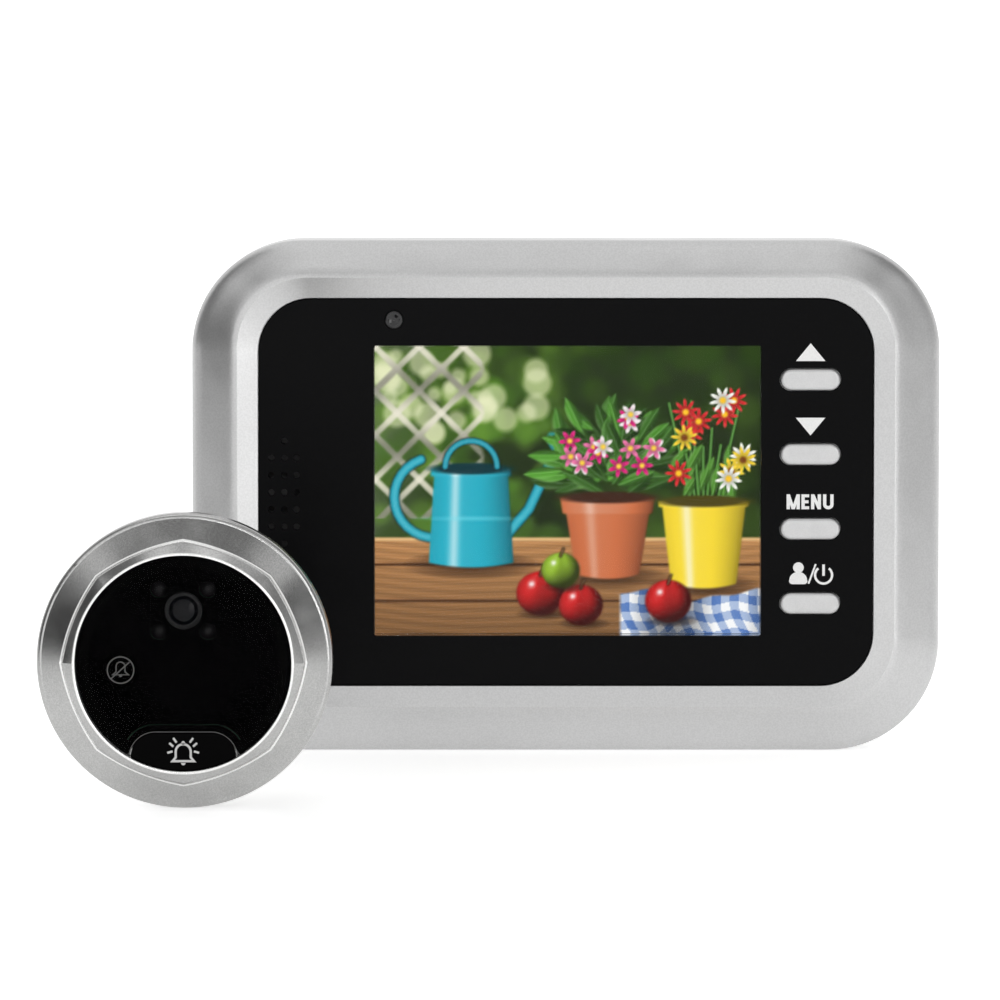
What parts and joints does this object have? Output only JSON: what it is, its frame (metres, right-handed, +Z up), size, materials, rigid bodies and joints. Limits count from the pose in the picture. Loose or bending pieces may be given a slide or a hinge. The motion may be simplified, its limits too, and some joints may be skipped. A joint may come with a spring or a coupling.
{
  "type": "door viewer camera with indoor screen",
  "caption": "Flat indoor monitor with a colour screen and side keys, and a round outdoor camera unit with a doorbell key and a hollow stub that passes through a door.",
  "frame": {"origin": "middle of the monitor's flat base, on the surface that the set stands on", "axes": "+Z up, -Y towards the viewer in front of the screen, +X to the viewer's right"},
  "size_m": [0.1103, 0.0872, 0.065],
  "materials": {
    "bezel_silver": "satin silver paint over moulded plastic",
    "panel_black": "smooth black face",
    "clear_window": "clear polished window",
    "foam_black": "soft black foam",
    "foam_grey": "closed-cell foam",
    "display_face": "colour display showing a garden bench",
    "light_guide": "white diffuser",
    "tray_steel": "thin folded sheet",
    "key_silver": "satin silver",
    "switch_black": "moulded",
    "switch_case": "moulded with a metal cover",
    "indicator_smoke": "smoked clear dome",
    "led_white": "surface lamp",
    "led_smoke": "dark infrared lamp",
    "speaker_case": "moulded",
    "speaker_film": "thin film",
    "board_green": "solder mask",
    "screw_steel": "zinc plated",
    "screw_black": "black oxide",
    "chip_black": "moulded package",
    "socket_white": "nylon",
    "cover_black": "fine spark texture",
    "cell_wrap": "printed sleeve with a bare band",
    "spring_steel": "nickel plated wire",
    "contact_nickel": "nickel plated sheet",
    "housing_metal": "satin plated casting",
    "housing_back": "moulded",
    "stub_brass": "nickel plated turned brass",
    "dark_glass": "polished dark face",
    "shield_black": "matt black shield",
    "bell_black": "polished dark key",
    "barrel_black": "moulded barrel",
    "lens_glass": "coated lens"
  },
  "bodies": {
    "root": {"front_bezel": "bezel_silver", "face_panel": "panel_black", "window_lens": "clear_window", "screen_gasket": "foam_black", "lcd_glass": "display_face", "backlight_plate": "light_guide", "lcd_frame": "tray_steel", "key_switches": "switch_case", "indicator_lens": "indicator_smoke", "indicator_led": "led_white", "speaker_frame": "speaker_case", "speaker_cone": "speaker_film", "speaker_gasket": "foam_black", "main_board": "board_green", "board_screws": "screw_steel", "board_chips": "chip_black", "ribbon_socket": "socket_white", "rear_cover": "cover_black", "batteries": "cell_wrap", "battery_springs": "spring_steel", "battery_contacts": "contact_nickel", "case_screws": "screw_black", "camera_housing": "housing_metal", "camera_glass": "dark_glass", "light_shield": "shield_black", "bell_switch": "switch_case", "camera_back": "housing_back", "door_stub": "stub_brass", "foam_gasket": "foam_grey", "unit_screws": "screw_black", "unit_board": "board_green", "unit_socket": "socket_white", "camera_holder": "barrel_black", "camera_lens": "lens_glass", "ir_leds": "led_smoke"},
    "up_key": {"key_up": "key_silver", "plunger_up": "switch_black"},
    "down_key": {"key_down": "key_silver", "plunger_down": "switch_black"},
    "menu_key": {"key_menu": "key_silver", "plunger_menu": "switch_black"},
    "power_key": {"key_power": "key_silver", "plunger_power": "switch_black"},
    "doorbell_key": {"bell_key": "bell_black", "bell_plunger": "switch_black"},
    "battery_lid": {"battery_door": "cover_black"}
  },
  "joints": [
    {"name": "press_up", "type": "slide", "parent": "root", "child": "up_key", "axis": [0, 1, 0], "range_m": [0, 0.0004], "stiffness_N_per_m": 4000},
    {"name": "press_down", "type": "slide", "parent": "root", "child": "down_key", "axis": [0, 1, 0], "range_m": [0, 0.0004], "stiffness_N_per_m": 4000},
    {"name": "press_menu", "type": "slide", "parent": "root", "child": "menu_key", "axis": [0, 1, 0], "range_m": [0, 0.0004], "stiffness_N_per_m": 4000},
    {"name": "press_power", "type": "slide", "parent": "root", "child": "power_key", "axis": [0, 1, 0], "range_m": [0, 0.0004], "stiffness_N_per_m": 4000},
    {"name": "press_bell", "type": "slide", "parent": "root", "child": "doorbell_key", "axis": [0, 1, 0], "range_m": [0, 0.0004], "stiffness_N_per_m": 4000},
    {"name": "slide_battery_door", "type": "slide", "parent": "root", "child": "battery_lid", "axis": [1, 0, 0], "range_m": [0, 0.06]}
  ]
}
